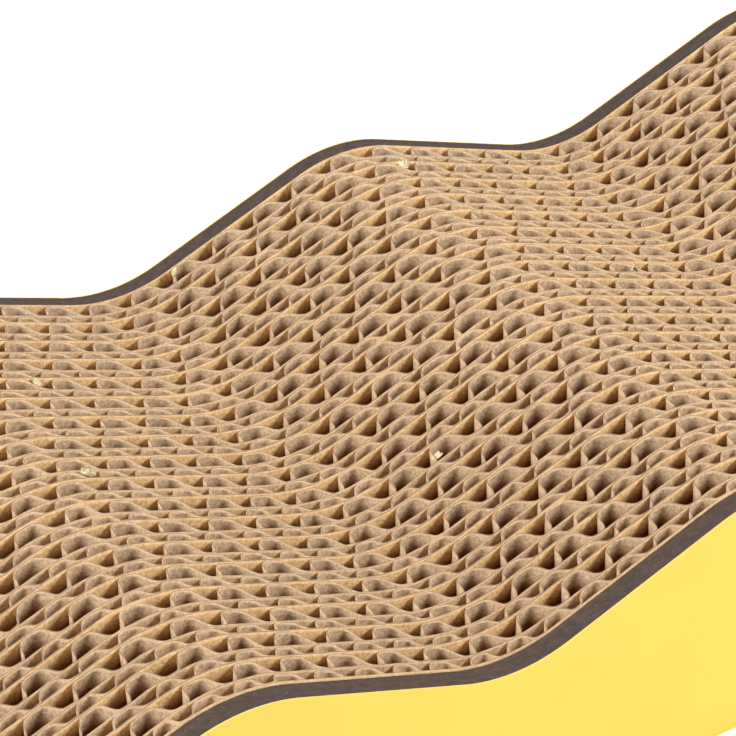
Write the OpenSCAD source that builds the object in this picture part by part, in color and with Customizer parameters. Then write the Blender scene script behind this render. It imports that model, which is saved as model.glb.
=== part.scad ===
/* [Wave top] */
// Number of waves along the length
wave_count = 4; // [1:1:6]
// Distance from one crest to the next
wave_pitch = 90; // [60:1:140]
// Angle between the straight slopes and the level, in degrees
slope_angle = 20.4; // [10:0.2:30]
// Radius that rounds each crest and each valley
wave_radius = 26; // [8:1:40]
// Height of the valleys above the base
valley_h = 29.8; // [15:0.1:60]

/* [Corrugated strips] */
// Number of strips that stand side by side
strip_count = 18; // [4:1:24]
// Thickness of the two outer liners of a strip
liner_t = 0.15; // [0.1:0.05:0.5]
// Thickness of the liner between the small and the large flutes
mid_liner_t = 0.15; // [0.1:0.05:0.5]
// Thickness of the fluted papers
flute_paper_t = 0.2; // [0.1:0.05:0.5]
// Height of the small flutes, liner to liner
small_flute_h = 2.25; // [1.5:0.05:3.2]
// Distance from one small flute to the next
small_flute_pitch = 6.5; // [5:0.1:9]
// Height of the large flutes, liner to liner
large_flute_h = 3.73; // [2.5:0.01:5]
// Distance from one large flute to the next
large_flute_pitch = 8; // [6:0.1:12]

/* [Side boards] */
// Thickness of the greyboard on each side
board_t = 3.5; // [1.5:0.1:6]
// How far the top edge of a side board lies below the strips
board_drop = 0.5; // [0:0.1:2]
// Thickness of the yellow paper on the outside of each board
paper_t = 0.25; // [0.15:0.05:0.8]

/* [Hidden] */
// How far the flutes of one strip are shifted from those of the one before, as shares of a pitch
small_shift_share = 0.618;
large_shift_share = 0.382;
// Straight pieces that make up the arc of a crest or a valley
arc_steps = 4;
// How far a cutting shape runs past the shape that it cuts
overrun = 1;

body_l = wave_count * wave_pitch;
strip_t = liner_t + small_flute_h + mid_liner_t + large_flute_h + liner_t;
core_w = strip_count * strip_t;

// The straight slopes meet in corners, and an arc rounds each corner
half_pitch = wave_pitch / 2;
corner_gap = wave_radius * (1 / cos(slope_angle) - 1);
valley_corner_h = valley_h - corner_gap;
crest_corner_h = valley_corner_h + half_pitch * tan(slope_angle);
crest_h = crest_corner_h - corner_gap;
crest_centre_h = crest_h - wave_radius;
valley_centre_h = valley_h + wave_radius;

function two_digits(i) = i < 10 ? str("0", i) : str(i);
function strip_name(i) = str("strip_", two_digits(i));

// Points along the arc of the crest at x, from angle a to angle b off the upright
function crest_arc(x, a, b) = [for (k = [0 : arc_steps])
    let (t = a + (b - a) * k / arc_steps)
    [x + wave_radius * sin(t), crest_centre_h + wave_radius * cos(t)]];

// Points along the arc of the valley at x, from left to right
function valley_arc(x) = [for (k = [0 : arc_steps])
    let (t = slope_angle * (2 * k / arc_steps - 1))
    [x + wave_radius * sin(t), valley_centre_h - wave_radius * cos(t)]];

function crest_x(k) = -body_l / 2 + k * wave_pitch;

// The top line from the left end to the right one: both ends stop in the middle of a crest
function wave_line() = [for (k = [0 : wave_count]) each concat(
    crest_arc(crest_x(k), k == 0 ? 0 : -slope_angle, k == wave_count ? 0 : slope_angle),
    k == wave_count ? [] : valley_arc(crest_x(k) + half_pitch))];

// Side view of the scratcher, lowered by drop along its top
module wave_outline(drop) {
    polygon(concat([[body_l / 2, 0], [-body_l / 2, 0]],
        [for (p = wave_line()) p - [0, drop]]));
}

// A plate of the side view's shape, from y to y + t
module wave_plate(y, t, drop) {
    translate([0, y + t, 0]) rotate([90, 0, 0]) linear_extrude(height = t) wave_outline(drop);
}

// One cell between a flute and a liner: wide along the liner, closed under the tip of the flute
module cell(x, y, pitch, h, side) {
    wide = pitch / 2 - flute_paper_t;
    translate([x, y]) polygon([[-wide, 0], [wide, 0], [0, side * (h - flute_paper_t)]]);
}

// All the cells of one row of flutes, from y to y + h
module flute_cells(y, pitch, h, shift_share) {
    count = ceil(body_l / pitch / 2) + 1;
    shift = pitch * (shift_share - floor(shift_share));
    for (k = [-count : count]) {
        cell(k * pitch + shift, y, pitch, h, 1);
        cell((k + 1 / 2) * pitch + shift, y + h, pitch, h, -1);
    }
}

// Top view of one strip, with its open cells
module strip_section(i) {
    small_y = liner_t;
    large_y = small_y + small_flute_h + mid_liner_t;
    difference() {
        translate([-body_l / 2, 0]) square([body_l, strip_t]);
        flute_cells(small_y, small_flute_pitch, small_flute_h, i * small_shift_share);
        flute_cells(large_y, large_flute_pitch, large_flute_h, i * large_shift_share);
    }
}

module strip(i) {
    y = -core_w / 2 + (i - 1) * strip_t;
    color("peru") intersection() {
        translate([0, y, 0]) linear_extrude(height = crest_h) strip_section(i);
        wave_plate(y - overrun, strip_t + 2 * overrun, 0);
    }
}

module side_board_front() {
    color("dimgray") wave_plate(-core_w / 2 - board_t, board_t, board_drop);
}

module side_board_back() {
    color("dimgray") wave_plate(core_w / 2, board_t, board_drop);
}

module side_paper_front() {
    color("gold") wave_plate(-core_w / 2 - board_t - paper_t, paper_t, board_drop);
}

module side_paper_back() {
    color("gold") wave_plate(core_w / 2 + board_t, paper_t, board_drop);
}

for (i = [1 : strip_count]) strip(i);
side_board_front();
side_board_back();
side_paper_front();
side_paper_back();
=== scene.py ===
"""Cardboard cat scratcher with a wave top: upright corrugated strips between two faced greyboards.

Laid out as an add-on: settings, one operator for each group of pieces, and a panel. Run as a script,
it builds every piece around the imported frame, then the stage, the lamps and the camera.
"""
import math
import random

import bpy
from mathutils import Matrix, Vector


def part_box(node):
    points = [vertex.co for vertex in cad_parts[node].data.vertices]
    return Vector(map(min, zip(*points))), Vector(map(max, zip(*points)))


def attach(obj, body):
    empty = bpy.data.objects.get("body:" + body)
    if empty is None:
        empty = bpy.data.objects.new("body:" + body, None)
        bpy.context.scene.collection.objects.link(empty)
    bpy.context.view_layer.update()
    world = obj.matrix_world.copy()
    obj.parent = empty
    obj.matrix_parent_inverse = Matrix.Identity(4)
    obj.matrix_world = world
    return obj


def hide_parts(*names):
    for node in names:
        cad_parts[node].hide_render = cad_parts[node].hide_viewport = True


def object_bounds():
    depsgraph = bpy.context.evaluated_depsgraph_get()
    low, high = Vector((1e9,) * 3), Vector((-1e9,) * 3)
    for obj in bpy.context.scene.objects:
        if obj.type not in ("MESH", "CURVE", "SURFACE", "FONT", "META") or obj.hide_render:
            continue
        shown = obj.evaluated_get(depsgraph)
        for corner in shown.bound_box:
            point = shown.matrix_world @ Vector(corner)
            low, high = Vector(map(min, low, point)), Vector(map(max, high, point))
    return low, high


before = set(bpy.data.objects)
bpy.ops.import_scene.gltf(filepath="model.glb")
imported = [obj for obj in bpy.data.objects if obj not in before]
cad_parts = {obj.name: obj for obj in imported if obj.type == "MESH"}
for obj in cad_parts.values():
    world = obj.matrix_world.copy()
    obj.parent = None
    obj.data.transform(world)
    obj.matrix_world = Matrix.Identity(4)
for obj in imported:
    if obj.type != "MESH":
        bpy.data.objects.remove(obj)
CAD_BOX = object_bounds()

bl_info = {
    "name": "Wave Top Cat Scratcher",
    "version": (1, 0, 0),
    "blender": (4, 5, 0),
    "location": "View3D > Sidebar > Scratcher",
    "description": "Builds a cat scratcher of corrugated strips between two faced greyboards",
    "category": "Object",
}

MM = 0.001
STRIP_NODES = sorted(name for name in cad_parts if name.startswith("strip_"))
BODY_LENGTH = CAD_BOX[1].x - CAD_BOX[0].x
CREST_HEIGHT = CAD_BOX[1].z
BOARD_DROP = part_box(STRIP_NODES[0])[1].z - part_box("side_board_front")[1].z


def tone(red, green, blue):
    """A colour as Blender counts it, from its 0 to 255 values on a screen."""
    def channel(value):
        share = value / 255
        return share / 12.92 if share <= 0.04045 else ((share + 0.055) / 1.055) ** 2.4
    return (channel(red), channel(green), channel(blue))


def length_setting(name, description, default, low, high):
    return bpy.props.FloatProperty(
        name=name, description=description, default=default, min=low, max=high,
        precision=5, subtype="DISTANCE", unit="LENGTH")


def share_setting(name, description, default, high):
    return bpy.props.FloatProperty(
        name=name, description=description, default=default, min=0, max=high, subtype="FACTOR")


def angle_setting(name, description, degrees, low=-180, high=180):
    return bpy.props.FloatProperty(
        name=name, description=description, default=math.radians(degrees), min=math.radians(low),
        max=math.radians(high), subtype="ANGLE", unit="ROTATION")


def power_setting(name, description, default):
    return bpy.props.FloatProperty(
        name=name, description=description, default=default, min=0, subtype="POWER", unit="POWER")


def colour_setting(name, description, default):
    return bpy.props.FloatVectorProperty(
        name=name, description=description, default=default, min=0, max=1, size=3,
        subtype="COLOR")


class ScratcherSizes(bpy.types.PropertyGroup):
    """Sizes of the papers, the flutes and the wave top."""
    wave_pitch: length_setting(
        "Wave pitch", "Distance from one crest to the next", 90 * MM, 60 * MM, 140 * MM)
    slope_angle: angle_setting(
        "Slope angle", "Angle between the straight slopes and the level", 20.4, 10, 30)
    wave_radius: length_setting(
        "Wave radius", "Radius that rounds each crest and each valley", 26 * MM, 8 * MM, 40 * MM)
    liner: length_setting(
        "Liner", "Thickness of the two outer liners of a strip", 0.15 * MM, 0.1 * MM, 0.5 * MM)
    mid_liner: length_setting(
        "Middle liner", "Thickness of the liner between the small and the large flutes",
        0.15 * MM, 0.1 * MM, 0.5 * MM)
    flute_paper: length_setting(
        "Fluted paper", "Thickness of the fluted papers", 0.2 * MM, 0.1 * MM, 0.5 * MM)
    small_height: length_setting(
        "Small flute height", "Height of the small flutes, liner to liner",
        2.25 * MM, 1.5 * MM, 3.2 * MM)
    small_pitch: length_setting(
        "Small flute pitch", "Distance from one small flute to the next", 6.5 * MM, 5 * MM, 9 * MM)
    large_height: length_setting(
        "Large flute height", "Height of the large flutes, liner to liner",
        3.73 * MM, 2.5 * MM, 5 * MM)
    large_pitch: length_setting(
        "Large flute pitch", "Distance from one large flute to the next", 8 * MM, 6 * MM, 12 * MM)
    roundness: share_setting(
        "Tip roundness", "How much wider the far tips of the flutes are than the near ones", 0.25, 0.5)
    steepness: share_setting(
        "Flank steepness", "How much steeper the flanks are than those of a sine wave", 0.2, 0.4)
    flatness: share_setting(
        "Tip flatness", "How much the tips are pressed flat against the liners", 0.1, 0.11)
    lean: length_setting(
        "Flute lean", "About how far the far tips of the large flutes stand off towards -X",
        0.5 * MM, 0, 1 * MM)
    curl: length_setting(
        "Curl", "How far the papers bend at the cut", 0.42 * MM, 0, 1 * MM)
    sink: length_setting(
        "Sink", "How far the fluted papers are cut below the liners", 0.1 * MM, 0, 1 * MM)
    torn_bits: bpy.props.IntProperty(
        name="Torn bits", description="Torn bits of paper along the cut of each strip",
        default=1, min=1, max=60)
    board_drop: length_setting(
        "Board drop", "How far the side boards' top edge lies below the strips",
        BOARD_DROP, 0, 2 * MM)


class ScratcherColours(bpy.types.PropertyGroup):
    """Colours of the papers and boards."""
    warm_liner: colour_setting("Outer liners", "Orange tan kraft liner", tone(236, 197, 143))
    grey_liner: colour_setting("Middle liner", "Grey tan middle liner", tone(207, 178, 141))
    flute: colour_setting("Flutes", "Grey tan fluted paper", tone(211, 184, 151))
    # the cut edges' dark tan is partly the raw edge's own tone and partly painted shade on the up-facing
    # rims
    cut: colour_setting("Cut edge", "Cut edges of all the papers", tone(141, 118, 93))
    torn: colour_setting("Torn paper", "Pale torn bits at the cut", tone(206, 184, 152))
    greyboard: colour_setting("Greyboard", "Side boards, raw recycled board", tone(73, 60, 54))
    facing: colour_setting("Facing", "Yellow paper of the sides", tone(232, 206, 86))
    facing_edge: colour_setting("Facing edge", "Cut edge of the yellow paper", tone(226, 196, 104))


class ScratcherStage(bpy.types.PropertyGroup):
    """The lamps, the even light and the camera."""
    camera_place: bpy.props.FloatVectorProperty(
        name="Camera place", description="Where the camera stands", size=3,
        default=(-263.9 * MM, -381.6 * MM, 344.5 * MM), subtype="TRANSLATION", unit="LENGTH")
    camera_yaw: angle_setting("Camera yaw", "Turn from the +Y axis towards +X", 31.35)
    camera_tilt: angle_setting("Camera tilt", "How far the camera looks down", 34.05)
    camera_roll: angle_setting("Camera roll", "Turn about the line of sight", 1.56)
    lens: bpy.props.FloatProperty(
        name="Lens", description="Focal length on a sensor 36 mm wide",
        default=168.8, min=20, max=400, subtype="DISTANCE_CAMERA", unit="CAMERA")
    key_turn: angle_setting("Key turn", "Turn of the key lamp from the front towards +X", 47)
    key_power: power_setting("Key power", "Power of the key lamp", 12)
    fill_turn: angle_setting("Fill turn", "Turn of the fill lamp from the front towards +X", -95)
    fill_power: power_setting("Fill power", "Power of the fill lamp", 12)
    lamp_rise: angle_setting("Lamp rise", "Angle of both lamps above the floor", 40)
    lamp_distance: length_setting(
        "Lamp distance", "From the middle of the scratcher to each lamp", 1.0, 0.3, 5)
    sky: bpy.props.FloatProperty(
        name="Sky", description="Strength of the even light from all sides", default=0.03, min=0)


class Formula:
    """Writes a node tree as short formulas. Values are sockets or plain numbers."""

    def __init__(self, tree):
        self.tree = tree

    def node(self, kind, inputs=(), **settings):
        made = self.tree.nodes.new(kind)
        for key, value in settings.items():
            setattr(made, key, value)
        for key, value in dict(inputs).items():
            self.put(made.inputs[key], value)
        return made

    def put(self, socket, value):
        if isinstance(value, bpy.types.NodeSocket):
            self.tree.links.new(value, socket)
        else:
            socket.default_value = value

    def math(self, operation, *values):
        made = self.node("ShaderNodeMath", operation=operation)
        for socket, value in zip(made.inputs, values):
            self.put(socket, value)
        return made.outputs[0]

    def add(self, a, b):
        return self.math("ADD", a, b)

    def sub(self, a, b):
        return self.math("SUBTRACT", a, b)

    def mul(self, a, b):
        return self.math("MULTIPLY", a, b)

    def div(self, a, b):
        return self.math("DIVIDE", a, b)

    def minus(self, value):
        return self.mul(value, -1.0)

    def total(self, first, *others):
        for other in others:
            first = self.add(first, other)
        return first

    def keep(self, value, low, high):
        """The value, held between low and high."""
        return self.math("MINIMUM", self.math("MAXIMUM", value, low), high)

    def vector(self, x, y, z):
        return self.node("ShaderNodeCombineXYZ", {"X": x, "Y": y, "Z": z}).outputs[0]

    def parts(self, vector):
        return self.node("ShaderNodeSeparateXYZ", {"Vector": vector}).outputs

    def noise(self, vector, scale, detail=2.0, roughness=0.5):
        return self.node("ShaderNodeTexNoise", {
            "Vector": vector, "Scale": scale, "Detail": detail, "Roughness": roughness}).outputs[0]

    def swing(self, vector, scale, size):
        """A smooth random value between about -size and size."""
        return self.mul(self.sub(self.noise(vector, scale), 0.5), self.mul(size, 2.0))

    def ramp(self, value, low, high, to_low=0.0, to_high=1.0):
        """A smooth step from to_low, where the value is low, to to_high, where it is high."""
        return self.node("ShaderNodeMapRange", {
            "Value": value, "From Min": low, "From Max": high, "To Min": to_low,
            "To Max": to_high}, interpolation_type="SMOOTHSTEP").outputs[0]

    def mix(self, share, a, b, blend="MIX"):
        made = self.node("ShaderNodeMix", data_type="RGBA", blend_type=blend)
        self.put(made.inputs["Factor"], share)
        for name, value in (("A", a), ("B", b)):
            socket = next(s for s in made.inputs if s.name == name and s.type == "RGBA")
            self.put(socket, (*value, 1.0) if isinstance(value, tuple) else value)
        return next(s for s in made.outputs if s.type == "RGBA")

    def stain(self, colour, pattern, start, full, strength, other):
        """The colour, mixed with another one where the pattern runs from start to full and past it."""
        return self.mix(self.ramp(pattern, start, full, 0.0, strength), colour, other)


FLOAT = "NodeSocketFloat"
INT = "NodeSocketInt"
MATERIAL = "NodeSocketMaterial"
# The sizes that every sheet with the wave top shares
WAVE_INPUTS = [("Length", FLOAT, BODY_LENGTH), ("Wave Pitch", FLOAT, 90 * MM),
               ("Crest Height", FLOAT, CREST_HEIGHT), ("Slope Angle", FLOAT, math.radians(20.4)),
               ("Wave Radius", FLOAT, 26 * MM)]
# The attribute that says how deep in the cells a point of a paper lies, for the painted shade in the cells
DEPTH = "cut_depth"
# Points along a flat sheet, a fluted sheet and a side slab
FLAT_STEPS, FLUTE_STEPS, SLAB_STEPS = 421, 961, 721
# Points up a sheet and up a side slab, and points across a side board and across its facing
SHEET_ROWS, SLAB_ROWS = 6, 12
BOARD_LAYERS, FACING_LAYERS = 8, 3
# A sheet's rows of points crowd towards the cut: this power of the height, counted from the cut
ROW_CROWDING = 2.6
# The upper share of a sheet that is bent and frayed, and how much thinner the paper is at the cut
CUT_ZONE, CUT_THINNING = 0.16, 0.1
# The largest share of its height that a dent takes off a flute
CRUSHING = 0.13
# The painted shade in the cells starts and is full this far in from the ends of a strip
END_CLEAR, END_FULL = 2 * MM, 9 * MM
# How far the burrs of the liners and of the flutes stand out, and how rough the slabs' top edges are
LINER_FUZZ, FLUTE_FUZZ = 0.06 * MM, 0.08 * MM
BOARD_FUZZ, FACING_FUZZ = 0.12 * MM, 0.03 * MM


def new_group(name, inputs):
    """A geometry node group with named inputs, given as (name, socket type, default)."""
    tree = bpy.data.node_groups.new(name, "GeometryNodeTree")
    for label, kind, default in inputs:
        socket = tree.interface.new_socket(name=label, in_out="INPUT", socket_type=kind)
        if default is not None:
            socket.default_value = default
    tree.interface.new_socket(name="Geometry", in_out="OUTPUT", socket_type="NodeSocketGeometry")
    source = tree.nodes.new("NodeGroupInput").outputs
    result = tree.nodes.new("NodeGroupOutput").inputs["Geometry"]
    return tree, Formula(tree), source, result


def unit_block(f, steps, layers, rows):
    """A block one metre wide each way, with its middle at the origin, and the places of its points."""
    block = f.node("GeometryNodeMeshCube", {
        "Size": (1.0, 1.0, 1.0), "Vertices X": steps, "Vertices Y": layers, "Vertices Z": rows})
    return block.outputs["Mesh"], f.parts(f.node("GeometryNodeInputPosition").outputs[0])


def moved_to(f, geometry, position):
    return f.node("GeometryNodeSetPosition", {"Geometry": geometry, "Position": position}).outputs[0]


def painted(f, geometry, material):
    return f.node("GeometryNodeSetMaterial", {"Geometry": geometry, "Material": material}).outputs[0]


def realized(f, geometry):
    return f.node("GeometryNodeRealizeInstances", {"Geometry": geometry}).outputs[0]


def wave_height(f, x, source):
    """Height of the wave top at x: straight slopes, with an arc at each crest and valley."""
    radius, angle = source["Wave Radius"], source["Slope Angle"]
    tangent = f.math("TANGENT", angle)
    half_pitch = f.mul(source["Wave Pitch"], 0.5)
    from_end = f.add(x, f.mul(source["Length"], 0.5))
    off_crest = f.math("PINGPONG", from_end, half_pitch)
    off_valley = f.sub(half_pitch, off_crest)
    run = f.mul(radius, f.math("SINE", angle))
    gap = f.mul(radius, f.sub(f.div(1.0, f.math("COSINE", angle)), 1.0))
    corner = f.add(source["Crest Height"], gap)
    slope = f.sub(corner, f.mul(off_crest, tangent))
    valley_floor = f.add(f.sub(corner, f.mul(half_pitch, tangent)), gap)

    def fall(off):
        """How far the arc has left its highest or lowest point, this far off it."""
        short = f.math("MINIMUM", off, run)
        square = f.sub(f.mul(radius, radius), f.mul(short, short))
        return f.sub(radius, f.math("SQRT", square))

    crest = f.sub(source["Crest Height"], fall(off_crest))
    valley = f.add(valley_floor, fall(off_valley))
    near_crest = f.math("LESS_THAN", off_crest, run)
    near_valley = f.math("LESS_THAN", off_valley, run)
    straight = f.sub(f.sub(1.0, near_crest), near_valley)
    return f.total(f.mul(crest, near_crest), f.mul(valley, near_valley), f.mul(slope, straight))


def paper_group():
    """One upright sheet, flat or fluted, with the wave top cut on it and its upper edge a little bent."""
    tree, f, source, result = new_group("Upright Paper", WAVE_INPUTS + [
        ("Place", FLOAT, 0.0), ("Thickness", FLOAT, 0.15 * MM), ("Swing", FLOAT, 0.0),
        ("Pitch", FLOAT, 8 * MM), ("Shift", FLOAT, 0.0), ("Roundness", FLOAT, 0.0),
        ("Steepness", FLOAT, 0.0), ("Flatness", FLOAT, 0.0), ("Lean", FLOAT, 0.0),
        ("Sink", FLOAT, 0.0), ("Curl", FLOAT, 0.0), ("Fuzz", FLOAT, 0.0),
        ("Steps", INT, FLAT_STEPS), ("Rows", INT, SHEET_ROWS), ("Seed", FLOAT, 0.0),
        ("Paper", MATERIAL, None)])
    block, at = unit_block(f, source["Steps"], 2, source["Rows"])
    half = f.mul(source["Length"], 0.5)
    along = f.mul(at["X"], source["Length"])
    below = f.math("POWER", f.sub(0.5, at["Z"]), ROW_CROWDING)
    up = f.sub(1.0, below)
    near_cut = f.ramp(below, 0.0, CUT_ZONE, 1.0, 0.0)
    side = f.mul(f.mul(at["Y"], source["Thickness"]), f.sub(1.0, f.mul(near_cut, CUT_THINNING)))

    def lane(number, x=along, z=0.0):
        """Where a noise is read. Each use has its own lane, so that no two patterns run alike."""
        return f.vector(x, f.mul(source["Seed"], number), z)

    # the flute's centre line, run through by its turn, and the way it heads
    wander = f.swing(lane(0.37, z=f.mul(up, 4 * MM)), scale=90.0, size=f.mul(source["Pitch"], 0.09))
    turn = f.mul(f.sub(f.div(f.add(along, wander), source["Pitch"]), source["Shift"]), math.tau)
    double, triple = f.mul(turn, 2.0), f.mul(turn, 3.0)
    wave_number = f.div(math.tau, source["Pitch"])
    cosine, sine = f.math("COSINE", turn), f.math("SINE", turn)
    roundness, steepness, flatness = source["Roundness"], source["Steepness"], source["Flatness"]
    lean = f.mul(source["Lean"], f.add(1.0, f.swing(lane(0.63), scale=70.0, size=0.7)))
    slip = f.add(f.mul(roundness, sine), f.mul(steepness, f.math("SINE", double)))
    heading_x = f.total(1.0, f.mul(roundness, cosine),
                        f.mul(f.mul(steepness, 2.0), f.math("COSINE", double)),
                        f.mul(f.mul(lean, wave_number), sine))
    dent = f.noise(lane(0.29), scale=240.0, detail=1.0)
    crushed = f.sub(1.0, f.mul(f.ramp(dent, 0.42, 0.75, 0.0, CRUSHING), near_cut))
    swing = f.mul(f.div(source["Swing"], f.sub(1.0, flatness)), crushed)
    offset = f.mul(swing, f.sub(cosine, f.mul(flatness, f.math("COSINE", triple))))
    heading_y = f.mul(f.mul(swing, wave_number),
                      f.sub(f.mul(f.mul(flatness, 3.0), f.math("SINE", triple)), sine))
    heading = f.math("SQRT", f.add(f.mul(heading_x, heading_x), f.mul(heading_y, heading_y)))

    # bends and burrs near the cut
    bend_x = f.swing(lane(0.91), scale=170.0, size=f.mul(source["Curl"], 2.2))
    bend_y = f.swing(lane(0.53), scale=210.0, size=source["Curl"])
    burr = f.swing(lane(0.71), scale=900.0, size=source["Fuzz"])
    x = f.total(along, f.div(slip, wave_number), f.minus(f.mul(lean, cosine)),
                f.mul(bend_x, near_cut), f.minus(f.div(f.mul(side, heading_y), heading)))
    x = f.keep(x, f.minus(half), half)
    y = f.total(source["Place"], offset, f.div(f.mul(side, heading_x), heading),
                f.mul(f.add(bend_y, burr), near_cut))
    nibble = f.noise(lane(1.3, x=x, z=at["Y"]), scale=700.0, detail=3.0)
    frayed = f.mul(f.math("ABSOLUTE", f.sub(nibble, 0.5)), f.mul(source["Fuzz"], 3.0))
    top = f.sub(wave_height(f, x, source), f.add(frayed, source["Sink"]))

    # how deep a point lies in the cells, stored while the positions are still those of the block
    # the depth, faded out near the ends of the strip, sets the painted shade in the cells
    from_end = f.ramp(f.sub(half, f.math("ABSOLUTE", along)), END_CLEAR, END_FULL)
    deep = f.mul(f.math("MINIMUM", f.mul(below, top), f.mul(up, top)), from_end)
    noted = f.node("GeometryNodeStoreNamedAttribute", {
        "Geometry": block, "Name": DEPTH, "Value": deep}, data_type="FLOAT")
    sheet = moved_to(f, noted.outputs[0], f.vector(x, y, f.mul(up, top)))

    # the walls shade smoothly, and the cut, the underside and the ends stay sharp
    facing = f.parts(f.node("GeometryNodeInputNormal").outputs[0])
    wall = f.math("LESS_THAN", f.math("ABSOLUTE", facing["Z"]), 0.6)
    inside = f.math("LESS_THAN", f.math("ABSOLUTE", at["X"]), f.sub(half, 0.01 * MM))
    smooth = f.node("GeometryNodeSetShadeSmooth", {
        "Geometry": sheet, "Selection": f.mul(wall, inside)})
    tree.links.new(painted(f, smooth.outputs[0], source["Paper"]), result)
    return tree


def bits_group():
    """Torn bits of paper along the cut of one strip: small curled slabs with ragged edges."""
    tree, f, source, result = new_group("Torn Bits", WAVE_INPUTS + [
        ("Front", FLOAT, 0.0), ("Width", FLOAT, 6.4 * MM), ("Count", INT, 3), ("Size", FLOAT, 1.4 * MM),
        ("Thickness", FLOAT, 0.14 * MM), ("Seed", INT, 1), ("Paper", MATERIAL, None)])

    def draw(low, high, step):
        """A random vector for each bit, between low and high. Each step gives other ones."""
        made = f.node("FunctionNodeRandomValue", data_type="FLOAT_VECTOR")
        lowest, highest = [socket for socket in made.inputs if socket.type == "VECTOR"][:2]
        f.put(lowest, low)
        f.put(highest, high)
        f.put(made.inputs["Seed"], f.add(source["Seed"], step))
        return next(socket for socket in made.outputs if socket.type == "VECTOR")

    # shares of half the length along the strip and of its width across it
    half, size = f.mul(source["Length"], 0.5), source["Size"]
    spread = f.parts(draw((-0.97, 0.12, 0.0), (0.97, 0.88, 1.0), 0.0))
    points = f.node("GeometryNodePoints", {
        "Count": source["Count"],
        "Position": f.vector(f.mul(spread["X"], half),
                             f.add(source["Front"], f.mul(spread["Y"], source["Width"])), 0.0)})

    # one bit: ragged above, bent back with its height and bowed along its length
    block, at = unit_block(f, 9, 2, 6)
    rise = f.add(at["Z"], 0.5)
    ragged = f.noise(f.vector(f.mul(at["X"], 2.6), 0.0, rise), scale=1.0, detail=3.0)
    height = f.mul(rise, f.mul(size, f.ramp(ragged, 0.38, 0.62, 0.1, 1.0)))
    bent = f.mul(f.mul(rise, rise), f.mul(size, 0.45))
    bowed = f.mul(f.mul(at["X"], at["X"]), f.mul(size, 0.6))
    bit = moved_to(f, block, f.vector(
        f.mul(at["X"], size), f.total(f.mul(at["Y"], source["Thickness"]), bent, bowed), height))
    strewn = f.node("GeometryNodeInstanceOnPoints", {
        "Points": points.outputs[0], "Instance": bit,
        "Rotation": draw((-0.3, -0.4, -0.6), (1.2, 0.4, 0.9), 1.0),
        "Scale": draw((0.5, 0.8, 0.4), (1.7, 1.2, 1.0), 2.0)})
    whole = realized(f, strewn.outputs[0])

    # each bit is lifted to the cut, a little sunk in, and stays inside the strip's own box
    now = f.parts(f.node("GeometryNodeInputPosition").outputs[0])
    x = f.keep(now["X"], f.minus(half), half)
    y = f.keep(now["Y"], source["Front"], f.add(source["Front"], source["Width"]))
    lifted = f.sub(f.add(wave_height(f, x, source), now["Z"]), f.mul(size, 0.35))
    z = f.math("MINIMUM", lifted, source["Crest Height"])
    lying = moved_to(f, whole, f.vector(x, y, z))
    tree.links.new(painted(f, lying, source["Paper"]), result)
    return tree


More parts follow.
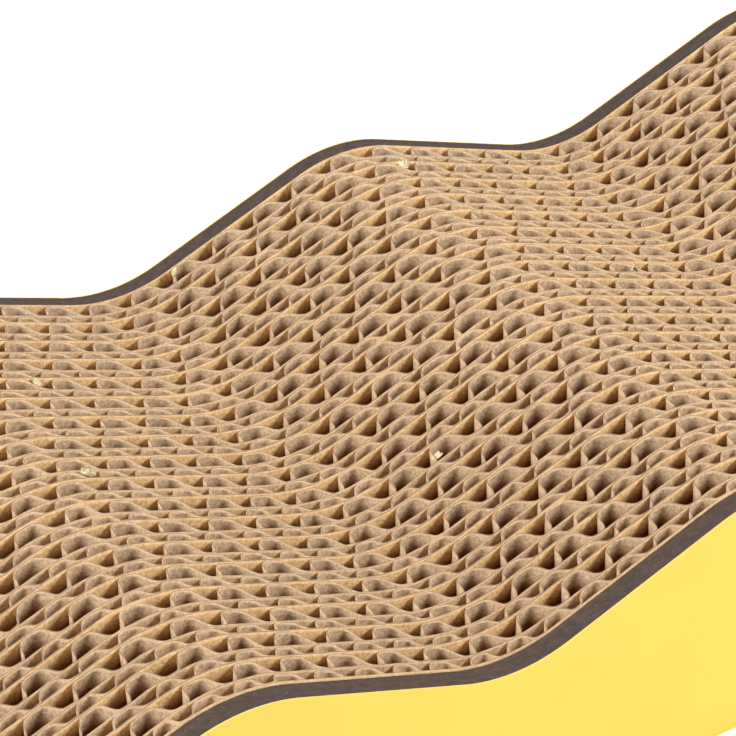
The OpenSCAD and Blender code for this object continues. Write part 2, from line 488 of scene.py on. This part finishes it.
def strip_group(paper, bits):
    """One double-wall strip: liner, small flutes, middle liner, large flutes, liner, and its torn bits."""
    tree, f, source, result = new_group("Corrugated Strip", WAVE_INPUTS + [
        ("Front", FLOAT, 0.0), ("Liner", FLOAT, 0.15 * MM), ("Middle Liner", FLOAT, 0.15 * MM),
        ("Fluted Paper", FLOAT, 0.2 * MM), ("Small Height", FLOAT, 2.25 * MM),
        ("Small Pitch", FLOAT, 6.5 * MM), ("Large Height", FLOAT, 3.73 * MM),
        ("Large Pitch", FLOAT, 8 * MM), ("Small Shift", FLOAT, 0.0), ("Large Shift", FLOAT, 0.0),
        ("Roundness", FLOAT, 0.2), ("Steepness", FLOAT, 0.2), ("Flatness", FLOAT, 0.1),
        ("Small Lean", FLOAT, 0.0), ("Large Lean", FLOAT, 0.0), ("Sink", FLOAT, 0.0),
        ("Curl", FLOAT, 0.0), ("Near Curl", FLOAT, 0.0), ("Far Curl", FLOAT, 0.0), ("Seed", INT, 1),
        ("Torn Bits", INT, 3), ("Warm Liner", MATERIAL, None), ("Grey Liner", MATERIAL, None),
        ("Flute", MATERIAL, None), ("Torn Paper", MATERIAL, None)])
    joined = f.node("GeometryNodeJoinGeometry")
    front = source["Front"]

    def add_part(group, **inputs):
        made = f.node("GeometryNodeGroup", node_tree=group)
        for label, _, _ in WAVE_INPUTS:
            f.put(made.inputs[label], source[label])
        for label, value in inputs.items():
            f.put(made.inputs[label], value)
        tree.links.new(made.outputs[0], joined.inputs[0])

    def sheet(low, space, **inputs):
        """A sheet in the middle of the space that starts at low. Gives the place where that space ends."""
        add_part(paper, Place=f.add(low, f.mul(space, 0.5)), **inputs)
        return f.add(low, space)

    def liner(low, thickness, paint, seed, curl):
        return sheet(low, thickness, Thickness=thickness, Paper=source[paint], Seed=seed, Curl=curl,
                     Fuzz=LINER_FUZZ, Steps=FLAT_STEPS)

    def flutes(low, name, seed):
        height, thickness = source[name + " Height"], source["Fluted Paper"]
        same = {label: source[label] for label in ("Roundness", "Steepness", "Flatness", "Sink", "Curl")}
        own = {label: source[name + " " + label] for label in ("Pitch", "Shift", "Lean")}
        # a little over half the height, so that the tips press into the liners
        return sheet(low, height, Thickness=thickness, Swing=f.mul(f.sub(height, thickness), 0.505),
                     Paper=source["Flute"], Seed=seed, Fuzz=FLUTE_FUZZ, Steps=FLUTE_STEPS, **same, **own)

    # liners that touch share a seed, so that they bend together
    near_seed, far_seed = f.mul(f.sub(source["Seed"], 1.0), 1.7), f.mul(source["Seed"], 1.7)
    mid_curl = f.mul(source["Curl"], 0.5)
    low = liner(front, source["Liner"], "Warm Liner", near_seed, source["Near Curl"])
    low = flutes(low, "Small", f.add(far_seed, 0.31))
    low = liner(low, source["Middle Liner"], "Grey Liner", f.add(far_seed, 0.57), mid_curl)
    low = flutes(low, "Large", f.add(far_seed, 0.83))
    back = liner(low, source["Liner"], "Warm Liner", far_seed, source["Far Curl"])
    add_part(bits, Front=front, Width=f.sub(back, front), Count=source["Torn Bits"], Seed=source["Seed"],
             Paper=source["Torn Paper"])
    tree.links.new(realized(f, joined.outputs[0]), result)
    return tree


def slab_group():
    """A side board or its facing: an upright slab with the wave top and a slightly rough top edge."""
    tree, f, source, result = new_group("Side Slab", WAVE_INPUTS + [
        ("Front", FLOAT, 0.0), ("Thickness", FLOAT, 3.5 * MM), ("Fuzz", FLOAT, 0.05 * MM),
        ("Steps", INT, SLAB_STEPS), ("Layers", INT, BOARD_LAYERS), ("Rows", INT, SLAB_ROWS),
        ("Board", MATERIAL, None)])
    block, at = unit_block(f, source["Steps"], source["Layers"], source["Rows"])
    x = f.mul(at["X"], source["Length"])
    y = f.add(source["Front"], f.mul(f.add(at["Y"], 0.5), source["Thickness"]))
    rough = f.noise(f.vector(x, f.mul(at["Y"], 4 * MM), 0.0), scale=900.0, detail=3.0)
    lowered = f.mul(f.mul(f.math("ABSOLUTE", f.sub(rough, 0.5)), source["Fuzz"]), 2.0)
    top = f.sub(wave_height(f, x, source), lowered)
    slab = moved_to(f, block, f.vector(x, y, f.mul(f.add(at["Z"], 0.5), top)))
    tree.links.new(painted(f, realized(f, slab), source["Board"]), result)
    return tree


def grown(name, group, values):
    """A plain mesh object made by a geometry node group with these inputs."""
    seed_mesh = bpy.data.meshes.new(name + "_start")
    carrier = bpy.data.objects.new(name + "_start", seed_mesh)
    bpy.context.scene.collection.objects.link(carrier)
    modifier = carrier.modifiers.new("Build", "NODES")
    modifier.node_group = group
    ids = {item.name: item.identifier for item in group.interface.items_tree
           if item.item_type == "SOCKET" and item.in_out == "INPUT"}
    for label, value in values.items():
        modifier[ids[label]] = value
    bpy.context.view_layer.update()
    graph = bpy.context.evaluated_depsgraph_get()
    mesh = bpy.data.meshes.new_from_object(
        carrier.evaluated_get(graph), preserve_all_data_layers=True, depsgraph=graph)
    carrier.modifiers.remove(modifier)
    bpy.data.objects.remove(carrier)
    bpy.data.meshes.remove(seed_mesh)
    if not mesh.polygons:
        raise RuntimeError(name + " came out empty")
    mesh.name = name
    piece = bpy.data.objects.new(name, mesh)
    bpy.context.scene.collection.objects.link(piece)
    return piece


def place(piece, node):
    """The piece rides on the one body and stands for its CAD node."""
    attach(piece, "root")
    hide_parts(node)


def wave_values(sizes, drop=0.0):
    return {"Length": BODY_LENGTH, "Wave Pitch": sizes.wave_pitch, "Crest Height": CREST_HEIGHT - drop,
            "Slope Angle": sizes.slope_angle, "Wave Radius": sizes.wave_radius}


def tinted(colour, shares):
    return tuple(min(1.0, channel * share) for channel, share in zip(colour, shares))


def shade(colour, share):
    """The same colour, darker where the share is below 1 and lighter where it is above."""
    return tinted(colour, (share, share, share))


def started_material(name, roughness, specular=0.25):
    """A new material: its formula writer, its shader and its object coordinates."""
    material = bpy.data.materials.new(name)
    material.use_nodes = True
    f = Formula(material.node_tree)
    shader = material.node_tree.nodes["Principled BSDF"]
    f.put(shader.inputs["Roughness"], roughness)
    f.put(shader.inputs["Specular IOR Level"], specular)
    where = f.node("ShaderNodeTexCoord").outputs["Object"]
    return material, f, shader, where


def finish_material(f, shader, colour, relief, strength, distance):
    """Puts the colour and a bump of this relief on the shader."""
    bump = f.node("ShaderNodeBump", {"Height": relief, "Strength": strength, "Distance": distance})
    f.put(shader.inputs["Base Color"], colour)
    f.put(shader.inputs["Normal"], bump.outputs[0])


def paper_material(name, base, cut, painted_cell_shade, full_shade_depth, fleck_share):
    """Raw paper: clouds, fibres, flecks, painted shade in the cells, and another tone and a tan edge at
    the cut.
    """
    material, f, shader, where = started_material(name, roughness=0.9)
    dark = tinted(base, (0.56, 0.5, 0.44))
    cloud = f.noise(where, scale=420.0, detail=4.0, roughness=0.6)
    patch = f.noise(where, scale=950.0, detail=3.0, roughness=0.6)
    fibre = f.noise(where, scale=1900.0, detail=4.0, roughness=0.75)
    fleck = f.noise(where, scale=3000.0, detail=1.0)
    colour = f.mix(f.ramp(cloud, 0.3, 0.7), shade(base, 0.88), shade(base, 1.1))
    colour = f.stain(colour, patch, 0.52, 0.38, 0.4, shade(base, 0.68))
    colour = f.stain(colour, fibre, 0.48, 0.66, 0.65, shade(base, 1.4))
    colour = f.stain(colour, fibre, 0.5, 0.36, 0.55, dark)
    colour = f.stain(colour, fleck, 0.66, 0.74, fleck_share, dark)

    # painted shade: the deeper in the cells, the darker and browner; and a band of another tone just below
    # the cut
    depth = f.node("ShaderNodeAttribute", attribute_name=DEPTH).outputs["Fac"]
    shaded_colour = f.mix(1.0, colour, painted_cell_shade, "MULTIPLY")
    colour = f.mix(f.ramp(depth, 0.5 * MM, full_shade_depth), colour, shaded_colour)
    colour = f.mix(f.ramp(depth, 0.0, 0.7 * MM, 0.5, 0.0), colour, shade(cut, 2.1))

    # the cut edge on whatever faces up: dark tan, partly its own tone, partly painted shade that evens it
    # with the walls
    up = f.parts(f.node("ShaderNodeNewGeometry").outputs["True Normal"])["Z"]
    ragged = f.add(up, f.swing(where, scale=1800.0, size=0.25))
    # a painted highlight on the rims in a few places
    lit = f.ramp(f.noise(where, scale=110.0, detail=1.0), 0.6, 0.68)
    rim = f.mix(lit, cut, shade(cut, 1.7))
    colour = f.mix(f.ramp(ragged, 0.45, 0.8), colour, rim)
    finish_material(f, shader, colour, f.add(fibre, f.mul(cloud, 0.5)), 0.35, 0.12 * MM)
    return material


def greyboard_material(base):
    """Recycled greyboard: layers along its length, darker clouds, pale specks and dark dots."""
    material, f, shader, where = started_material("greyboard_raw", roughness=0.88)
    drawn_out = f.node("ShaderNodeMapping", {"Vector": where, "Scale": (0.4, 1.0, 0.5)}).outputs[0]
    layers = f.noise(drawn_out, scale=1500.0, detail=4.0, roughness=0.65)
    cloud = f.noise(where, scale=160.0, detail=3.0)
    speck = f.noise(where, scale=2300.0)
    dot = f.noise(where, scale=3100.0, detail=1.0)
    colour = f.mix(f.ramp(layers, 0.35, 0.68), shade(base, 0.8), shade(base, 1.25))
    colour = f.stain(colour, cloud, 0.35, 0.7, 0.3, shade(base, 0.75))
    colour = f.stain(colour, speck, 0.66, 0.74, 0.3, tone(150, 134, 120))
    colour = f.stain(colour, dot, 0.7, 0.76, 0.6, tone(52, 44, 42))
    finish_material(f, shader, colour, f.add(layers, speck), 0.5, 0.15 * MM)
    return material


def facing_material(base, edge):
    """Smooth yellow paper with a faint mottle, and its pale raw core on the cut edge."""
    material, f, shader, where = started_material("yellow_facing", roughness=0.55, specular=0.3)
    cloud = f.noise(where, scale=60.0, detail=3.0)
    grain = f.noise(where, scale=5200.0)
    colour = f.mix(f.ramp(cloud, 0.35, 0.7), shade(base, 0.975), shade(base, 1.02))
    colour = f.stain(colour, grain, 0.6, 0.8, 0.12, shade(base, 0.9))
    up = f.parts(f.node("ShaderNodeNewGeometry").outputs["Normal"])["Z"]
    colour = f.mix(f.ramp(up, 0.4, 0.7), colour, edge)
    finish_material(f, shader, colour, f.add(grain, f.mul(cloud, 0.3)), 0.15, 0.04 * MM)
    return material


# For each paper of a strip: its material, the settings of its colour and of its cut edge, the painted
# shade that multiplies its colour deep in the cells, the depth where it is full, and the strength of its
# dark flecks
STRIP_PAPERS = (
    ("kraft_warm", "warm_liner", "cut", (0.24, 0.1, 0.02), 3.8 * MM, 0.5),
    ("kraft_grey", "grey_liner", "cut", (0.38, 0.21, 0.09), 4 * MM, 0.7),
    ("flute_paper", "flute", "cut", (0.38, 0.21, 0.09), 4 * MM, 0.8),
    ("torn_paper", "torn", "torn", (0.8, 0.7, 0.6), 9 * MM, 0.3),
)
# How far the flutes of one strip are shifted from those of the one before, as shares of a pitch
SMALL_SHIFT_SHARE, LARGE_SHIFT_SHARE = 0.618, 0.382
STRIP_SEED = 102


class SCRATCHER_OT_strips(bpy.types.Operator):
    """Build the corrugated strips"""
    bl_idname = "scratcher.strips"
    bl_label = "Corrugated Strips"

    def execute(self, context):
        sizes, colours = context.scene.scratcher_sizes, context.scene.scratcher_colours
        papers = {}
        for name, paint, edge, painted_cell_shade, full_shade_depth, flecks in STRIP_PAPERS:
            papers[name] = paper_material(
                name, tuple(getattr(colours, paint)), tuple(getattr(colours, edge)), painted_cell_shade,
                full_shade_depth, flecks)
        group = strip_group(paper_group(), bits_group())
        dice = random.Random(STRIP_SEED)
        last = len(STRIP_NODES)
        for number, node in enumerate(STRIP_NODES, start=1):
            values = wave_values(sizes)
            values.update({
                "Front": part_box(node)[0].y, "Liner": sizes.liner, "Middle Liner": sizes.mid_liner,
                "Fluted Paper": sizes.flute_paper, "Small Height": sizes.small_height,
                "Small Pitch": sizes.small_pitch, "Large Height": sizes.large_height,
                "Large Pitch": sizes.large_pitch, "Small Shift": number * SMALL_SHIFT_SHARE % 1,
                "Large Shift": number * LARGE_SHIFT_SHARE % 1, "Flatness": sizes.flatness,
                "Roundness": sizes.roundness * dice.uniform(0.6, 1.3),
                "Steepness": sizes.steepness * dice.uniform(0.7, 1.2),
                "Small Lean": sizes.lean * dice.uniform(0.2, 0.6),
                "Large Lean": sizes.lean * dice.uniform(0.2, 1.05),
                "Sink": sizes.sink * dice.uniform(0.3, 1.7), "Curl": sizes.curl,
                # the liners that touch the side boards stay straight
                "Near Curl": sizes.curl * 0.5 if number > 1 else 0.0,
                "Far Curl": sizes.curl * 0.5 if number < last else 0.0,
                "Seed": number, "Torn Bits": sizes.torn_bits, "Warm Liner": papers["kraft_warm"],
                "Grey Liner": papers["kraft_grey"], "Flute": papers["flute_paper"],
                "Torn Paper": papers["torn_paper"]})
            place(grown("corrugated_" + node, group, values), node)
        return {"FINISHED"}


class SCRATCHER_OT_sides(bpy.types.Operator):
    """Build the two side boards and their yellow papers"""
    bl_idname = "scratcher.sides"
    bl_label = "Side Boards and Papers"

    def execute(self, context):
        sizes, colours = context.scene.scratcher_sizes, context.scene.scratcher_colours
        group = slab_group()
        board = greyboard_material(tuple(colours.greyboard))
        facing = facing_material(tuple(colours.facing), tuple(colours.facing_edge))
        for kind, slot, material, fuzz, layers in (
                ("side_board", "greyboard", board, BOARD_FUZZ, BOARD_LAYERS),
                ("side_paper", "yellow_paper", facing, FACING_FUZZ, FACING_LAYERS)):
            for node in (kind + "_front", kind + "_back"):
                low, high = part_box(node)
                values = wave_values(sizes, sizes.board_drop)
                values.update({"Front": low.y, "Thickness": high.y - low.y, "Fuzz": fuzz,
                               "Layers": layers, "Board": material})
                place(grown(node + "_finish", group, values), node)
        return {"FINISHED"}


WHITE = (1.0, 1.0, 1.0, 1.0)
# How far the floor reaches each way, in metres, its colour, and the glow that only the camera sees
FLOOR_REACH, FLOOR_COLOUR, FLOOR_GLOW = 4.0, (0.8, 0.8, 0.8, 1.0), 0.3
# Widths of the two round lamps, in metres
KEY_WIDTH, FILL_WIDTH = 0.4, 0.5
# The sensor is given in millimetres, as Blender counts it
SENSOR_WIDTH, CLIP_START = 36.0, 10 * MM


def seen_share(f):
    """1 for what the camera sees, also in gloss or through glass, and 0 for the light on the object."""
    path = f.node("ShaderNodeLightPath").outputs
    seen = f.math("MAXIMUM", path["Is Camera Ray"], path["Is Glossy Ray"])
    return f.math("MAXIMUM", seen, path["Is Transmission Ray"])


def add_floor(scene):
    """White floor that keeps the shadow and looks white to the camera."""
    material = bpy.data.materials.new("studio_floor")
    material.use_nodes = True
    f = Formula(material.node_tree)
    shader = material.node_tree.nodes["Principled BSDF"]
    f.put(shader.inputs["Base Color"], FLOOR_COLOUR)
    f.put(shader.inputs["Roughness"], 0.9)
    f.put(shader.inputs["Emission Color"], WHITE)
    f.put(shader.inputs["Emission Strength"], f.mul(seen_share(f), FLOOR_GLOW))
    mesh = bpy.data.meshes.new("floor")
    corners = [(x * FLOOR_REACH, y * FLOOR_REACH, 0) for x, y in ((-1, -1), (1, -1), (1, 1), (-1, 1))]
    mesh.from_pydata(corners, [], [(0, 1, 2, 3)])
    mesh.materials.append(material)
    floor = bpy.data.objects.new("floor", mesh)
    scene.collection.objects.link(floor)


def add_lamp(scene, name, turn, power, width):
    """A round lamp that stands round the scratcher by its turn and shines at the middle of it."""
    stage = scene.scratcher_stage
    level = math.cos(stage.lamp_rise)
    away = Vector((math.sin(turn) * level, -math.cos(turn) * level, math.sin(stage.lamp_rise)))
    middle = Vector((0.0, 0.0, CREST_HEIGHT / 2))
    data = bpy.data.lights.new(name, "AREA")
    data.shape = "DISK"
    data.size = width
    data.energy = power
    lamp = bpy.data.objects.new(name, data)
    scene.collection.objects.link(lamp)
    lamp.location = middle + away * stage.lamp_distance
    lamp.rotation_euler = (-away).to_track_quat("-Z", "Y").to_euler()


def add_world(scene):
    """A white backdrop that casts only a faint even light."""
    world = bpy.data.worlds.new("studio")
    world.use_nodes = True
    scene.world = world
    f = Formula(world.node_tree)
    sky = scene.scratcher_stage.sky
    back = world.node_tree.nodes["Background"]
    f.put(back.inputs["Color"], WHITE)
    f.put(back.inputs["Strength"], f.add(f.mul(seen_share(f), 1.0 - sky), sky))


def add_camera(scene):
    """The photo's camera, from its place, its yaw, its tilt and its roll."""
    stage = scene.scratcher_stage
    data = bpy.data.cameras.new("camera")
    data.lens = stage.lens
    data.sensor_width = SENSOR_WIDTH
    data.clip_start = CLIP_START
    camera = bpy.data.objects.new("camera", data)
    scene.collection.objects.link(camera)
    yaw, tilt, roll = stage.camera_yaw, stage.camera_tilt, stage.camera_roll
    ahead = Vector((math.sin(yaw) * math.cos(tilt), math.cos(yaw) * math.cos(tilt), -math.sin(tilt)))
    level_right = Vector((math.cos(yaw), -math.sin(yaw), 0.0))
    level_up = level_right.cross(ahead)
    right = level_right * math.cos(roll) - level_up * math.sin(roll)
    up = right.cross(ahead)
    turned = Matrix((right, up, -ahead)).transposed()
    camera.matrix_world = Matrix.Translation(Vector(stage.camera_place)) @ turned.to_4x4()
    scene.camera = camera


class SCRATCHER_OT_stage(bpy.types.Operator):
    """Build the floor, the lamps, the world and the camera"""
    bl_idname = "scratcher.stage"
    bl_label = "Stage"

    def execute(self, context):
        scene = context.scene
        stage = scene.scratcher_stage
        add_floor(scene)
        add_lamp(scene, "key", stage.key_turn, stage.key_power, KEY_WIDTH)
        add_lamp(scene, "fill", stage.fill_turn, stage.fill_power, FILL_WIDTH)
        add_world(scene)
        add_camera(scene)
        scene.view_settings.view_transform = "Standard"
        return {"FINISHED"}


class SCRATCHER_PT_panel(bpy.types.Panel):
    """Lists the scratcher's steps and settings"""
    bl_label = "Cat Scratcher"
    bl_idname = "SCRATCHER_PT_panel"
    bl_space_type = "VIEW_3D"
    bl_region_type = "UI"
    bl_category = "Scratcher"

    def draw(self, context):
        for operator in OPERATORS:
            self.layout.operator(operator.bl_idname)
        for group, attribute in SETTINGS.items():
            settings = getattr(context.scene, attribute)
            for name in group.__annotations__:
                self.layout.prop(settings, name)


SETTINGS = {ScratcherSizes: "scratcher_sizes", ScratcherColours: "scratcher_colours",
            ScratcherStage: "scratcher_stage"}
OPERATORS = (SCRATCHER_OT_strips, SCRATCHER_OT_sides, SCRATCHER_OT_stage)


def register():
    for group, attribute in SETTINGS.items():
        bpy.utils.register_class(group)
        setattr(bpy.types.Scene, attribute, bpy.props.PointerProperty(type=group))
    for made in (*OPERATORS, SCRATCHER_PT_panel):
        bpy.utils.register_class(made)


def unregister():
    for made in reversed((*OPERATORS, SCRATCHER_PT_panel)):
        bpy.utils.unregister_class(made)
    for group, attribute in SETTINGS.items():
        delattr(bpy.types.Scene, attribute)
        bpy.utils.unregister_class(group)


def main():
    register()
    bpy.ops.scratcher.strips()
    bpy.ops.scratcher.sides()
    bpy.ops.scratcher.stage()


if __name__ == "__main__":
    main()
